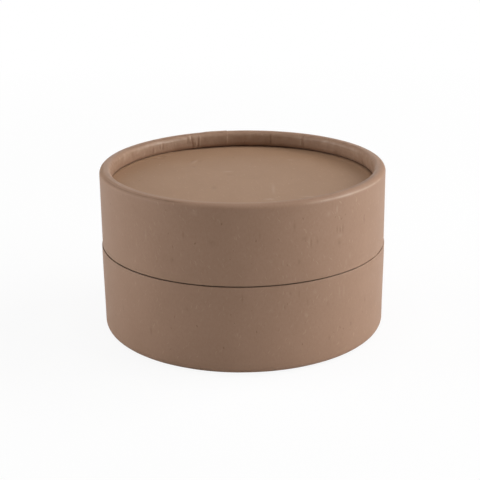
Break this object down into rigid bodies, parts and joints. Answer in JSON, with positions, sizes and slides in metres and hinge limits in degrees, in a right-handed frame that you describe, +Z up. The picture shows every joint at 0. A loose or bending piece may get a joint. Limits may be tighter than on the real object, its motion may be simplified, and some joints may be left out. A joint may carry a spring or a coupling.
{
  "type": "cylindrical gift tube box",
  "caption": "Squat round kraft board box with a lift-off lid, rolled rims, recessed end panels and an inner neck tube that the lid slides on.",
  "frame": {"origin": "centre of the flat foot of the base's rolled rim, on the box's axis", "axes": "+Z up along the box's axis, towards the lid; +X and +Y are any square pair, because the box is round"},
  "size_m": [0.086, 0.086, 0.05],
  "materials": {
    "kraft_wrap": "natural brown kraft paper, matt with a slight calendered sheen",
    "kraft_liner": "lighter natural kraft paper, matt",
    "grey_board": "raw recycled board, matt, fibrous where it is cut",
    "dried_glue": "dried white paper glue, satin"
  },
  "bodies": {
    "base": {"base_wrap": "kraft_wrap", "base_outer_board": "grey_board", "base_inner_board": "grey_board", "base_liner": "kraft_liner", "base_panel_face": "kraft_wrap", "base_panel_board": "grey_board", "floor_paper": "kraft_liner", "neck_wrap": "kraft_wrap", "neck_outer_board": "grey_board", "neck_inner_board": "grey_board", "neck_liner": "kraft_liner", "neck_glue": "dried_glue"},
    "lid": {"lid_wrap": "kraft_wrap", "lid_outer_board": "grey_board", "lid_inner_board": "grey_board", "lid_liner": "kraft_liner", "lid_panel_face": "kraft_wrap", "lid_panel_board": "grey_board", "lid_lining": "kraft_liner"}
  },
  "joints": [
    {"name": "lid_lift", "type": "slide", "parent": "base", "child": "lid", "axis": [0, 0, 1], "range_m": [0, 0.04]}
  ]
}
